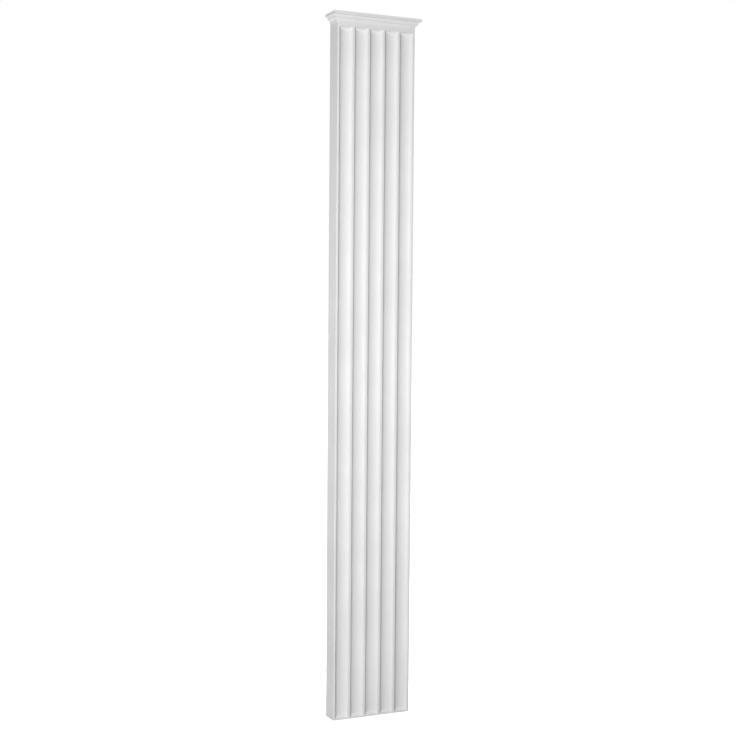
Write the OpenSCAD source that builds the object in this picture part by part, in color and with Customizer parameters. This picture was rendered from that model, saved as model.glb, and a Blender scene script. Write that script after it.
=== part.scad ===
// Fluted wall pilaster, moulded in one piece: a flat-backed shaft with hollow flutes down its front
// and a small crown cap on its head. Lengths are millimetres. The back lies on y = 0 and the front
// faces -Y, the cut foot lies on z = 0, and x = 0 is the middle of the width.

/* [Shaft] */
// Height from the cut foot to the top of the cap
height = 2000; // [900:10:3000]
// Width of the shaft across its front
shaft_width = 240; // [160:5:400]
// Depth of the shaft from the wall to its front
shaft_depth = 55; // [35:1:120]

/* [Flutes] */
// How many flutes there are
flute_count = 5; // [1:1:7]
// Width of the flat fillet beside each flute
fillet_width = 6; // [3:0.5:12]
// Depth of a flute below the front
flute_depth = 10; // [4:0.5:20]
// Height over which each end of a flute scoops back up to the front
scoop_height = 18; // [8:1:40]
// How square the hollow is: the half-angle of its elliptical arc, where 90 has upright flanks
hollow_angle = 85; // [50:1:88]
// Plain land between the flutes and the foot
foot_land = 3; // [2:1:80]
// Plain band between the flutes and the cap
neck_band = 9; // [2:1:80]

/* [Crown cap] */
// How far the cap stands out past the front and both sides of the shaft
cap_projection = 15; // [10:0.5:30]
// Height of the cap's broad upright fascia
fascia_height = 8.5; // [5:0.5:30]
// Width of the underside between the fascia and the listel
soffit_width = 7; // [2:0.5:9]
// How far the underside slopes down from the fascia to the listel
soffit_drop = 1.5; // [0.5:0.5:5]
// Height of the narrow listel under the fascia
listel_height = 7; // [2:0.5:15]
// Height of the hollow cove that runs from the listel into the shaft
cove_height = 13; // [8:0.5:30]

/* [Hidden] */

$fn = 96;
past = 2; // how far a cutting shape runs past the face it cuts
floor_break = 0.4; // how much deeper a scoop's arc runs than the flute, so that they meet on a line

under_height = soffit_drop + listel_height + cove_height;
cap_height = fascia_height + under_height;
cap_foot = height - cap_height;

flute_pitch = (shaft_width - fillet_width) / flute_count;
flute_width = flute_pitch - fillet_width;
flute_foot = foot_land;
flute_head = cap_foot - neck_band;

// An elliptical arc that is `depth` deep and reaches `reach` to each side of its deepest point is
// part of an ellipse with these half-axes.
function hollow_half_axis(reach) = reach / sin(hollow_angle);
function hollow_half_depth(depth) = depth / (1 - cos(hollow_angle));

// The ellipse of a hollow whose deepest point is at [0, depth] and which opens towards -Y through
// the line y = 0.
module hollow_ellipse(reach, depth) {
    half_depth = hollow_half_depth(depth);
    translate([0, depth - half_depth])
        scale([hollow_half_axis(reach), half_depth])
            circle(r = 1);
}

// What the cap takes away outside a core that reaches out to x = 0: the space under the fascia.
// Here x runs outwards and y runs up from the foot of the cove.
module under_fascia_space() {
    listel_reach = cap_projection - soffit_width;
    past_fascia = cap_projection + past;
    polygon([
        [listel_reach, -past],
        [past_fascia, -past],
        [past_fascia, under_height + past * soffit_drop / soffit_width],
        [listel_reach, under_height - soffit_drop],
    ]);
    translate([listel_reach, 0])
        scale([listel_reach, cove_height])
            circle(r = 1);
}

// One upright outline of the whole pilaster, from x = inner to the shaft's face at x = face.
module face_outline(inner, face) {
    difference() {
        translate([inner, 0])
            square([face - inner + cap_projection, height]);
        translate([face, cap_foot])
            under_fascia_space();
        translate([face, -past])
            square([cap_projection + past, cap_foot + past]);
    }
}

// The pilaster with no flutes. Its front outline, run across the width, and its side outline, run
// through the depth, meet in mitred corners round the cap. The back stays flat.
module plain_body() {
    run = shaft_width + 2 * (cap_projection + past);
    intersection() {
        rotate([90, 0, -90])
            translate([0, 0, -run / 2])
                linear_extrude(run)
                    face_outline(0, shaft_depth);
        rotate([90, 0, 0])
            linear_extrude(shaft_depth + cap_projection + past)
                union() {
                    face_outline(-past, shaft_width / 2);
                    mirror([1, 0])
                        face_outline(-past, shaft_width / 2);
                }
    }
}

// The hollow of one flute, centred on x = 0 with the shaft's front at y = 0: an upright trough, kept
// where it is no deeper than the scoops at its foot and head.
module flute_hollow() {
    half_width = flute_width / 2;
    straight_foot = flute_foot + scoop_height;
    straight_head = flute_head - scoop_height;
    run = flute_width + 2 * past;
    intersection() {
        translate([0, 0, flute_foot - past])
            linear_extrude(flute_head - flute_foot + 2 * past)
                hollow_ellipse(half_width, flute_depth);
        translate([-run / 2, 0, 0])
            rotate([90, 0, 90])
                linear_extrude(run)
                    union() {
                        translate([-past, straight_foot])
                            square([flute_depth + 2 * past, straight_head - straight_foot]);
                        for (end = [straight_foot, straight_head])
                            translate([0, end])
                                rotate(-90)
                                    hollow_ellipse(scoop_height, flute_depth + floor_break);
                    }
    }
}

module pilaster() {
    color("WhiteSmoke")
        difference() {
            plain_body();
            for (i = [0 : flute_count - 1])
                translate([(i - (flute_count - 1) / 2) * flute_pitch, -shaft_depth, 0])
                    flute_hollow();
        }
}

pilaster();
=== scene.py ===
import math

import bpy
from mathutils import Matrix, Vector


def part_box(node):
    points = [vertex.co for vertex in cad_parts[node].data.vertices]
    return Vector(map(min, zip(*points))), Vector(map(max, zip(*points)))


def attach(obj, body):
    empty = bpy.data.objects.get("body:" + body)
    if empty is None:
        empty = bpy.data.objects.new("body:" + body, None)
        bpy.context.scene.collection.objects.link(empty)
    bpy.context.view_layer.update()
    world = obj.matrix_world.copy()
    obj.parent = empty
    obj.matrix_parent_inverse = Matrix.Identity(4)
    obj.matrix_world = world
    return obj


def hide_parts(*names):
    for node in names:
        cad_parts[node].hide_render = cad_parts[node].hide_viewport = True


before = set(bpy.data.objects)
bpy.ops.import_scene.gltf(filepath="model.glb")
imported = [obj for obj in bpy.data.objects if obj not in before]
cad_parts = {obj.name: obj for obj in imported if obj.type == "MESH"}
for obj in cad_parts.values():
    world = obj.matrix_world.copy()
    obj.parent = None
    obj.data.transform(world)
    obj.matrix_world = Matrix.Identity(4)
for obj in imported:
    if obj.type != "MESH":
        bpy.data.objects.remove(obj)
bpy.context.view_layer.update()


# The pilaster. One moulding of rigid polyurethane foam, primed white in the mould: a flat-backed
# shaft with hollow flutes scooped out at both ends, and a small crown cap run round its head. It is
# drawn as a stack of rings, each ring one level cut through the moulding.
MM = 0.001
CAP_PROJECTION = 15 * MM
SOFFIT_WIDTH = 7 * MM
FASCIA_HEIGHT = 8.5 * MM
SOFFIT_DROP = 1.5 * MM
LISTEL_HEIGHT = 7 * MM
COVE_HEIGHT = 13 * MM
FLUTES = 5
FILLET_WIDTH = 6 * MM
FLUTE_DEPTH = 10 * MM
SCOOP_HEIGHT = 18 * MM
HOLLOW_ANGLE = math.radians(85)  # the half-angle of the elliptical arc of a hollow
FOOT_LAND = 3 * MM
NECK_BAND = 9 * MM
SCOOP_BLEND = 2.4 * MM  # over this depth a flute's floor melts into its scooped ends
ARRIS_SOFTNESS = 0.6 * MM  # over this depth a flute's edge is rounded by the mould and the primer
CORNER_ROUNDING = 1.2 * MM
ROUNDING_STEPS = 2
CORNER_ANGLE = math.radians(50)  # an edge that turns more than this is a corner
CORNER_SLACK = 0.1 * MM  # how near an edge's middle lies to the plane it is looked for on

box_low, box_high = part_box("pilaster")
height = box_high.z - box_low.z
shaft_width = box_high.x - box_low.x - 2 * CAP_PROJECTION
shaft_depth = box_high.y - box_low.y - CAP_PROJECTION
cap_foot = height - FASCIA_HEIGHT - SOFFIT_DROP - LISTEL_HEIGHT - COVE_HEIGHT
flute_pitch = (shaft_width - FILLET_WIDTH) / FLUTES
flute_width = flute_pitch - FILLET_WIDTH
scoop_depth = FLUTE_DEPTH + SCOOP_BLEND

FASCIA_FOOT_RING, LISTEL_HEAD_RING, LISTEL_FOOT_RING = 1, 2, 3  # ring 0 is the top
FIRST_COLUMN = 2  # the places before it are the back left and the front left corner
HALF_STEP = 0.5  # tells two neighbouring whole numbers apart
COLUMNS_PER_FLUTE = 56
COLUMN_CROWDING = 0.65  # 0 spaces a flute's columns evenly, towards 1 they crowd to its edges
COVE_RINGS = 10
END_RINGS = 52
RUN_RINGS = 12
CLOSE_STEP = 0.55 * MM  # between the rings over the scooped ends
far_step = (cap_foot - 2 * END_RINGS * CLOSE_STEP) / RUN_RINGS
front_columns = FLUTES * COLUMNS_PER_FLUTE
last_column = FIRST_COLUMN + front_columns
ring_points = last_column + 3  # the two right corners follow it, and the count starts at 0
rings = LISTEL_FOOT_RING + 1 + COVE_RINGS + 2 * END_RINGS + RUN_RINGS


def add(tree, kind, inputs=(), **settings):
    """Adds a node to a tree and returns its output. inputs gives its open sockets, in order or by
    name, a value or the output to link to them."""
    node = tree.nodes.new(kind)
    for name, value in settings.items():
        setattr(node, name, value)
    sockets = [socket for socket in node.inputs if socket.enabled]
    if isinstance(inputs, dict):
        sockets = [next(socket for socket in sockets if socket.name == name) for name in inputs]
        inputs = inputs.values()
    for socket, value in zip(sockets, inputs):
        if isinstance(value, bpy.types.NodeSocket):
            tree.links.new(value, socket)
        else:
            socket.default_value = value
    return next(socket for socket in node.outputs if socket.enabled)


moulding = bpy.data.node_groups.new("fluted_moulding", "GeometryNodeTree")
moulding.interface.new_socket("Geometry", in_out="INPUT", socket_type="NodeSocketGeometry")
moulding.interface.new_socket("Geometry", in_out="OUTPUT", socket_type="NodeSocketGeometry")
moulding_sizes = {
    "Half width": shaft_width / 2,
    "Depth": shaft_depth,
    "Cap foot": cap_foot,
    "Fascia height": FASCIA_HEIGHT,
    "Soffit drop": SOFFIT_DROP,
    "Listel height": LISTEL_HEIGHT,
    "Cove height": COVE_HEIGHT,
    "Soffit width": SOFFIT_WIDTH,
    "Listel reach": CAP_PROJECTION - SOFFIT_WIDTH,
    "Flute pitch": flute_pitch,
    "Flute depth": FLUTE_DEPTH,
    "Flute half axis": flute_width / 2 / math.sin(HOLLOW_ANGLE),
    "Flute arc depth": FLUTE_DEPTH / (1 - math.cos(HOLLOW_ANGLE)),
    "Scoop depth": scoop_depth,
    "Scoop half axis": SCOOP_HEIGHT / math.sin(HOLLOW_ANGLE),
    "Scoop arc depth": scoop_depth / (1 - math.cos(HOLLOW_ANGLE)),
    "Straight foot": FOOT_LAND + SCOOP_HEIGHT,
    "Straight head": cap_foot - NECK_BAND - SCOOP_HEIGHT,
    "Close step": CLOSE_STEP,
    "Far step": far_step,
    "Scoop blend": SCOOP_BLEND,
    "Arris softness": ARRIS_SOFTNESS,
    "Corner angle": CORNER_ANGLE,
    "Corner slack": CORNER_SLACK,
}
size_sockets = {}
for size_name, size in moulding_sizes.items():
    socket = moulding.interface.new_socket(size_name, in_out="INPUT", socket_type="NodeSocketFloat")
    size_sockets[size_name] = (socket.identifier, size)
material_socket = moulding.interface.new_socket(
    "Material", in_out="INPUT", socket_type="NodeSocketMaterial"
)
given = moulding.nodes.new("NodeGroupInput").outputs

# Each point's ring, counted down from the top, and its place round that ring: the back left corner,
# the front left corner, the columns across the front, the front right corner, the back right corner.
MATH = "ShaderNodeMath"
index = add(moulding, "GeometryNodeInputIndex")
ring = add(
    moulding, MATH, [add(moulding, MATH, [index, ring_points], operation="DIVIDE")], operation="FLOOR"
)
place = add(moulding, MATH, [index, ring_points], operation="MODULO")

# The cap's outline. The first ring is the top of the fascia, then come its foot, the listel's head
# and foot, and the rings of the cove, a quarter of an ellipse that ends upright on the shaft.
below_listel = add(moulding, MATH, [ring, LISTEL_FOOT_RING], operation="SUBTRACT")
cove_part = add(moulding, MATH, [below_listel, COVE_RINGS], operation="DIVIDE", use_clamp=True)
cove_turn = add(moulding, MATH, [cove_part, -math.pi / 2, math.pi / 2], operation="MULTIPLY_ADD")
cove_cosine = add(moulding, MATH, [cove_turn], operation="COSINE")
cove_sine = add(moulding, MATH, [cove_turn], operation="SINE")
cove_share = add(moulding, MATH, [1, cove_cosine], operation="SUBTRACT")
cove_reach = add(moulding, MATH, [cove_share, given["Listel reach"]], operation="MULTIPLY")
on_fascia = add(moulding, MATH, [ring, LISTEL_HEAD_RING], operation="LESS_THAN")
reach = add(
    moulding, MATH, [on_fascia, given["Soffit width"], cove_reach], operation="MULTIPLY_ADD"
)
cove_level = add(
    moulding, MATH, [cove_sine, given["Cove height"], given["Cap foot"]], operation="MULTIPLY_ADD"
)
over_listel = add(moulding, MATH, [ring, LISTEL_FOOT_RING], operation="LESS_THAN")
listel_level = add(
    moulding, MATH, [over_listel, given["Listel height"], cove_level], operation="MULTIPLY_ADD"
)
at_top = add(moulding, MATH, [ring, FASCIA_FOOT_RING], operation="LESS_THAN")
soffit_level = add(
    moulding, MATH, [on_fascia, given["Soffit drop"], listel_level], operation="MULTIPLY_ADD"
)
cap_level = add(
    moulding, MATH, [at_top, given["Fascia height"], soffit_level], operation="MULTIPLY_ADD"
)

# Down the shaft the rings lie close together over the scooped ends of the flutes, and far apart
# between them, where nothing changes.
shaft_ring = add(moulding, MATH, [below_listel, COVE_RINGS], operation="SUBTRACT")
head_steps = add(moulding, "ShaderNodeClamp", [shaft_ring, 0, END_RINGS])
past_head = add(moulding, MATH, [shaft_ring, END_RINGS], operation="SUBTRACT")
run_steps = add(moulding, "ShaderNodeClamp", [past_head, 0, RUN_RINGS])
past_run = add(moulding, MATH, [past_head, RUN_RINGS], operation="SUBTRACT")
foot_steps = add(moulding, "ShaderNodeClamp", [past_run, 0, END_RINGS])
close_steps = add(moulding, MATH, [head_steps, foot_steps], operation="ADD")
run_drop = add(moulding, MATH, [run_steps, given["Far step"]], operation="MULTIPLY")
drop = add(moulding, MATH, [close_steps, given["Close step"], run_drop], operation="MULTIPLY_ADD")
level = add(moulding, MATH, [cap_level, drop], operation="SUBTRACT")

# Across the front: which flute a column belongs to, and how far it is from the middle of that flute.
column = add(moulding, "ShaderNodeClamp", [
    add(moulding, MATH, [place, FIRST_COLUMN], operation="SUBTRACT"), 0, front_columns
])
flutes_passed = add(moulding, MATH, [column, COLUMNS_PER_FLUTE], operation="DIVIDE")
flute_part = add(moulding, MATH, [flutes_passed], operation="FRACT")
flute_number = add(moulding, MATH, [flutes_passed, flute_part], operation="SUBTRACT")
swing = add(moulding, MATH, [flute_part, 2, -1], operation="MULTIPLY_ADD")
swing_sine = add(
    moulding, MATH, [add(moulding, MATH, [swing, math.pi], operation="MULTIPLY")], operation="SINE"
)
crowded = add(
    moulding, MATH, [swing_sine, COLUMN_CROWDING / math.pi, swing], operation="MULTIPLY_ADD"
)
half_pitch = add(moulding, MATH, [given["Flute pitch"], 0.5], operation="MULTIPLY")
off_middle = add(moulding, MATH, [crowded, half_pitch], operation="MULTIPLY")
middle_number = add(moulding, MATH, [flute_number, (FLUTES - 1) / 2], operation="SUBTRACT")
front_x = add(
    moulding, MATH, [middle_number, given["Flute pitch"], off_middle], operation="MULTIPLY_ADD"
)

# The hollow: an elliptical arc across the flute, and another along it at each end. The shallower of
# the two is the surface, and it is eased into the flat front.
across_share = add(moulding, MATH, [off_middle, given["Flute half axis"]], operation="DIVIDE")
across_square = add(moulding, MATH, [across_share, across_share], operation="MULTIPLY")
across_rest = add(moulding, MATH, [1, across_square], operation="SUBTRACT", use_clamp=True)
across_root = add(moulding, MATH, [across_rest], operation="SQRT")
across_loss = add(moulding, MATH, [across_root, 1], operation="SUBTRACT")
hollow_across = add(
    moulding, MATH, [across_loss, given["Flute arc depth"], given["Flute depth"]],
    operation="MULTIPLY_ADD",
)
past_foot = add(moulding, MATH, [given["Straight foot"], level], operation="SUBTRACT")
past_straight = add(moulding, MATH, [level, given["Straight head"]], operation="SUBTRACT")
into_scoop = add(
    moulding, MATH,
    [add(moulding, MATH, [past_foot, past_straight], operation="MAXIMUM"), 0],
    operation="MAXIMUM",
)
along_share = add(moulding, MATH, [into_scoop, given["Scoop half axis"]], operation="DIVIDE")
along_square = add(moulding, MATH, [along_share, along_share], operation="MULTIPLY")
along_rest = add(moulding, MATH, [1, along_square], operation="SUBTRACT", use_clamp=True)
along_root = add(moulding, MATH, [along_rest], operation="SQRT")
along_loss = add(moulding, MATH, [along_root, 1], operation="SUBTRACT")
hollow_along = add(
    moulding, MATH, [along_loss, given["Scoop arc depth"], given["Scoop depth"]],
    operation="MULTIPLY_ADD",
)
shallower = add(
    moulding, MATH, [hollow_across, hollow_along, given["Scoop blend"]], operation="SMOOTH_MIN"
)
hollow = add(moulding, MATH, [shallower, 0, given["Arris softness"]], operation="SMOOTH_MAX")

# The corners of each ring stand out by the cap's reach, and its two back corners lie on the wall.
on_right = add(moulding, MATH, [place, last_column + HALF_STEP], operation="GREATER_THAN")
on_left = add(moulding, MATH, [place, FIRST_COLUMN - HALF_STEP], operation="LESS_THAN")
side = add(moulding, MATH, [on_right, on_left], operation="SUBTRACT")
at_side = add(moulding, MATH, [side], operation="ABSOLUTE")
across_front = add(moulding, MATH, [1, at_side], operation="SUBTRACT")
half_ring = add(moulding, MATH, [given["Half width"], reach], operation="ADD")
corner_x = add(moulding, MATH, [side, half_ring], operation="MULTIPLY")
x = add(moulding, MATH, [across_front, front_x, corner_x], operation="MULTIPLY_ADD")
face_depth = add(moulding, MATH, [given["Depth"], reach], operation="ADD")
front_y = add(moulding, MATH, [hollow, face_depth], operation="SUBTRACT")
past_back_left = add(moulding, MATH, [place, HALF_STEP], operation="GREATER_THAN")
before_back_right = add(
    moulding, MATH, [place, ring_points - 1 - HALF_STEP], operation="LESS_THAN"
)
off_wall = add(moulding, MATH, [past_back_left, before_back_right], operation="MULTIPLY")
y = add(moulding, MATH, [front_y, off_wall], operation="MULTIPLY")

stack = add(
    moulding, "GeometryNodeMeshCylinder",
    {"Vertices": ring_points, "Side Segments": rings - 1},
    fill_type="NGON",
)
shaped = add(
    moulding, "GeometryNodeSetPosition",
    {"Geometry": stack, "Position": add(moulding, "ShaderNodeCombineXYZ", [x, y, level])},
)

# The corners of the cap and the upright ones of the shaft are marked to be rounded by the bevel. Those
# round the sawn foot are left sharp, and the flutes' edges have a softness of their own.
edge_angle = add(moulding, "GeometryNodeInputMeshEdgeAngle")
is_sharp = add(moulding, MATH, [edge_angle, given["Corner angle"]], operation="GREATER_THAN")
middle_of_edge = add(moulding, "ShaderNodeSeparateXYZ", [
    add(moulding, "GeometryNodeInputPosition")
]).node.outputs
off_axis = add(moulding, MATH, [middle_of_edge["X"]], operation="ABSOLUTE")
off_axis_with_slack = add(moulding, MATH, [off_axis, given["Corner slack"]], operation="ADD")
at_shaft_side = add(
    moulding, MATH, [off_axis_with_slack, given["Half width"]], operation="GREATER_THAN"
)
in_cap = add(moulding, MATH, [middle_of_edge["Z"], given["Cap foot"]], operation="GREATER_THAN")
at_foot = add(moulding, MATH, [middle_of_edge["Z"], given["Corner slack"]], operation="LESS_THAN")
in_place = add(moulding, MATH, [at_shaft_side, in_cap], operation="MAXIMUM")
is_moulded = add(moulding, MATH, [in_place, at_foot], operation="SUBTRACT", use_clamp=True)
rounded = add(
    moulding, "GeometryNodeStoreNamedAttribute",
    {"Geometry": shaped, "Name": "bevel_weight_edge",
     "Value": add(moulding, MATH, [is_sharp, is_moulded], operation="MULTIPLY")},
    data_type="FLOAT", domain="EDGE",
)
smooth = add(moulding, "GeometryNodeSetShadeSmooth", [rounded])
creased = add(
    moulding, "GeometryNodeSetShadeSmooth",
    {"Geometry": smooth, "Selection": add(moulding, MATH, [is_sharp, at_foot], operation="MULTIPLY"),
     "Shade Smooth": False},
    domain="EDGE",
)
realized = add(moulding, "GeometryNodeRealizeInstances", [creased])
primed = add(
    moulding, "GeometryNodeSetMaterial", {"Geometry": realized, "Material": given["Material"]}
)
moulding.links.new(primed, moulding.nodes.new("NodeGroupOutput").inputs["Geometry"])


def linear(hex_colour):
    """The linear RGBA of an sRGB hex colour."""
    channels = [int(hex_colour[i : i + 2], 16) / 255 for i in (1, 3, 5)]
    return [c / 12.92 if c <= 0.04045 else ((c + 0.055) / 1.055) ** 2.4 for c in channels] + [1]


# Its finish. Moulded polyurethane comes from its mould in a sprayed white primer: matt, a little
# uneven in the thickness of its coat, with a fine orange peel. The back, planed flat, and the sawn
# foot and head are bare foam: a drier, warmer white with fine open cells. Each cell is sunk by the
# bump, and its pit is also painted darker as painted shade.
PRIMER_WHITE = "#DCDCDC"
THIN_PRIMER = "#D8D8D8"
BARE_FOAM = "#DDDCD7"
# the colour of painted shade in the middle of a bare cell's pit
SHADED_CELL_PIT = "#C4C1B8"
PRIMER_ROUGHNESS = 0.55
THIN_PRIMER_ROUGHNESS = 0.64
BARE_FOAM_ROUGHNESS = 0.85
COAT_PATCH = 140 * MM  # the sprayed coat's thickness drifts over about a hand's length
THICK_COAT, THIN_COAT = 0.35, 0.65  # where in the noise the coat is at its thickest and thinnest
ORANGE_PEEL = 2.5 * MM  # about 1 mm on the real primer, drawn coarser to show
ORANGE_PEEL_HEIGHT = 0.03 * MM
CELL = 1.6 * MM  # about 0.5 mm in the real foam, drawn coarser to show
CELL_HEIGHT = 0.15 * MM
CELL_MIDDLE, CELL_RIM = 0.15, 0.4  # how far a cell's pit reaches, as a share of its spacing
SAWN_SKIN = 0.3 * MM

primer = bpy.data.materials.new("primed_polyurethane")
primer.use_nodes = True
coat = primer.node_tree
shader = coat.nodes["Principled BSDF"]
spot = coat.nodes.new("ShaderNodeTexCoord").outputs["Object"]
coat_patches = add(
    coat, "ShaderNodeTexNoise", {"Vector": spot, "Scale": 1 / COAT_PATCH, "Detail": 3}
)
thin_places = add(coat, "ShaderNodeMapRange", [coat_patches, THICK_COAT, THIN_COAT, 0, 1])
peel = add(coat, "ShaderNodeTexNoise", {"Vector": spot, "Scale": 1 / ORANGE_PEEL, "Detail": 1})
cells = add(coat, "ShaderNodeTexVoronoi", {"Vector": spot, "Scale": 1 / CELL})
# 1 in the middle of a cell's pit and 0 at its rim: it sinks the pit's relief and lays painted shade in
# the pit
cell_pit_and_painted_shade = add(coat, "ShaderNodeMapRange", [cells, CELL_MIDDLE, CELL_RIM, 1, 0])

# The bare faces are the skin next to the wall, the foot and the head.
sides = add(coat, "ShaderNodeSeparateXYZ", [spot]).node.outputs
by_wall = add(coat, MATH, [sides["Y"], -SAWN_SKIN], operation="GREATER_THAN")
by_floor = add(coat, MATH, [sides["Z"], SAWN_SKIN], operation="LESS_THAN")
by_head = add(coat, MATH, [sides["Z"], height - SAWN_SKIN], operation="GREATER_THAN")
at_end = add(coat, MATH, [by_floor, by_head], operation="MAXIMUM")
bare = add(coat, MATH, [by_wall, at_end], operation="MAXIMUM")

MIX = "ShaderNodeMix"
primer_colour = add(
    coat, MIX, [thin_places, linear(PRIMER_WHITE), linear(THIN_PRIMER)], data_type="RGBA"
)
# the bare foam, painted darker in its cell pits as painted shade
foam_colour = add(coat, MIX, [cell_pit_and_painted_shade, linear(BARE_FOAM), linear(SHADED_CELL_PIT)], data_type="RGBA")
colour = add(coat, MIX, [bare, primer_colour, foam_colour], data_type="RGBA")
primer_roughness = add(
    coat, "ShaderNodeMapRange", [thin_places, 0, 1, PRIMER_ROUGHNESS, THIN_PRIMER_ROUGHNESS]
)
roughness = add(coat, MIX, [bare, primer_roughness, BARE_FOAM_ROUGHNESS])
peel_height = add(coat, MATH, [peel, ORANGE_PEEL_HEIGHT], operation="MULTIPLY")
cell_height = add(coat, MATH, [cell_pit_and_painted_shade, -CELL_HEIGHT], operation="MULTIPLY")
relief = add(coat, MIX, [bare, peel_height, cell_height])
coat.links.new(colour, shader.inputs["Base Color"])
coat.links.new(roughness, shader.inputs["Roughness"])
coat.links.new(
    add(coat, "ShaderNodeBump", {"Height": relief, "Distance": 1}), shader.inputs["Normal"]
)

pilaster = bpy.data.objects.new("moulded_pilaster", bpy.data.meshes.new("moulded_pilaster"))
bpy.context.collection.objects.link(pilaster)
growth = pilaster.modifiers.new("moulding", "NODES")
growth.node_group = moulding
for identifier, size in size_sockets.values():
    growth[identifier] = size
growth[material_socket.identifier] = primer
rounding = pilaster.modifiers.new("corner_rounding", "BEVEL")
rounding.width = CORNER_ROUNDING
rounding.segments = ROUNDING_STEPS
rounding.limit_method = "WEIGHT"
facing = pilaster.modifiers.new("facing", "WEIGHTED_NORMAL")
facing.keep_sharp = True

finished = bpy.data.meshes.new_from_object(
    pilaster.evaluated_get(bpy.context.evaluated_depsgraph_get())
)
pilaster.modifiers.clear()
finished.materials.pop(index=0)
pilaster.data = finished
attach(pilaster, "root")
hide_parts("pilaster")


# The floor. A plain pale studio floor that runs out past the view, under the cut foot.
FLOOR_REACH = 60
PAPER_WHITE = "#F4F4F4"
PAPER_ROUGHNESS = 0.9

floor_mesh = bpy.data.meshes.new("studio_floor")
floor_mesh.from_pydata(
    [(x, y, box_low.z) for x, y in [(-1, -1), (1, -1), (1, 1), (-1, 1)]], [], [(0, 1, 2, 3)]
)
floor_mesh.transform(Matrix.Diagonal((FLOOR_REACH, FLOOR_REACH, 1, 1)))
floor = bpy.data.objects.new("studio_floor", floor_mesh)
bpy.context.collection.objects.link(floor)
paper = bpy.data.materials.new("pale_paper")
paper.use_nodes = True
paper_shader = paper.node_tree.nodes["Principled BSDF"]
paper_shader.inputs["Base Color"].default_value = linear(PAPER_WHITE)
paper_shader.inputs["Roughness"].default_value = PAPER_ROUGHNESS
floor_mesh.materials.append(paper)


# The camera. It stands at the left of the front, a little above half the pilaster's height.
CAMERA_PLACE = Vector((-1.6017, -3.4975, 1.1627))
CAMERA_TURN = math.radians(-24.686)
CAMERA_TILT = math.radians(-2.390)
CAMERA_ROLL = math.radians(0.445)
LENS = 65.15
SENSOR_WIDTH = 36
UPRIGHT = math.radians(90)  # turns a camera that looks down to look along the floor

camera = bpy.data.objects.new("camera", bpy.data.cameras.new("camera"))
camera.data.lens = LENS
camera.data.sensor_width = SENSOR_WIDTH
camera.matrix_world = (
    Matrix.Translation(CAMERA_PLACE)
    @ Matrix.Rotation(CAMERA_TURN, 4, "Z")
    @ Matrix.Rotation(UPRIGHT + CAMERA_TILT, 4, "X")
    @ Matrix.Rotation(CAMERA_ROLL, 4, "Z")
)
bpy.context.collection.objects.link(camera)
bpy.context.scene.camera = camera


# The light. A large soft box stands at the front left, four dimmer ones stand closer round the
# shaft, a little above the middle of its height, and one hangs over its head. A wide overhead light
# keeps the paper on the floor white.
SOFT_BOXES = [  # turn about the shaft and lift in degrees, distance and width in metres, watts
    ("key", -34, 0, 3.0, 1.2, 98),
    ("left_fill", -112, 0, 1.9, 1.0, 10),
    ("right_fill", 45, 0, 1.3, 0.8, 1.6),
    ("right_side_fill", 112, 0, 1.9, 1.0, 16),
    ("back_fill", 165, 0, 2.0, 1.2, 27),
    ("top_fill", 0, 90, 1.75, 0.5, 7),
]
LIGHTS_HEIGHT = 1.15
FLOOR_LIGHT = 4
FLOOR_LIGHT_ANGLE = math.radians(40)
ROOM_LIGHT = 0.10
ROOM_SEEN = 1.0

lit_middle = Vector((0, -shaft_depth, LIGHTS_HEIGHT))
for name, turn, lift, distance, width, power in SOFT_BOXES:
    soft_box = bpy.data.objects.new(name, bpy.data.lights.new(name, "AREA"))
    soft_box.data.size = width
    soft_box.data.energy = power
    level_way = Vector((math.sin(math.radians(turn)), -math.cos(math.radians(turn)), 0))
    upward = Vector((0, 0, 1))
    outward = level_way * math.cos(math.radians(lift)) + upward * math.sin(math.radians(lift))
    soft_box.location = lit_middle + distance * outward
    soft_box.rotation_mode = "QUATERNION"
    soft_box.rotation_quaternion = outward.to_track_quat("Z", "Y")
    soft_box.visible_camera = False
    bpy.context.collection.objects.link(soft_box)
overhead = bpy.data.objects.new("floor_light", bpy.data.lights.new("floor_light", "SUN"))
overhead.data.energy = FLOOR_LIGHT
overhead.data.angle = FLOOR_LIGHT_ANGLE
bpy.context.collection.objects.link(overhead)
floor_only = bpy.data.collections.new("floor_only")
floor_only.objects.link(floor)
overhead.light_linking.receiver_collection = floor_only
floor.visible_diffuse = False

world = bpy.data.worlds.new("white_room")
world.use_nodes = True
room = world.node_tree
room.nodes.clear()
seen = add(room, "ShaderNodeLightPath")
glow = add(room, "ShaderNodeMapRange", {"Value": seen, "To Min": ROOM_LIGHT, "To Max": ROOM_SEEN})
white = add(room, "ShaderNodeBackground", {"Color": linear("#FFFFFF"), "Strength": glow})
room.links.new(white, room.nodes.new("ShaderNodeOutputWorld").inputs["Surface"])
bpy.context.scene.world = world
bpy.context.scene.view_settings.view_transform = "Standard"
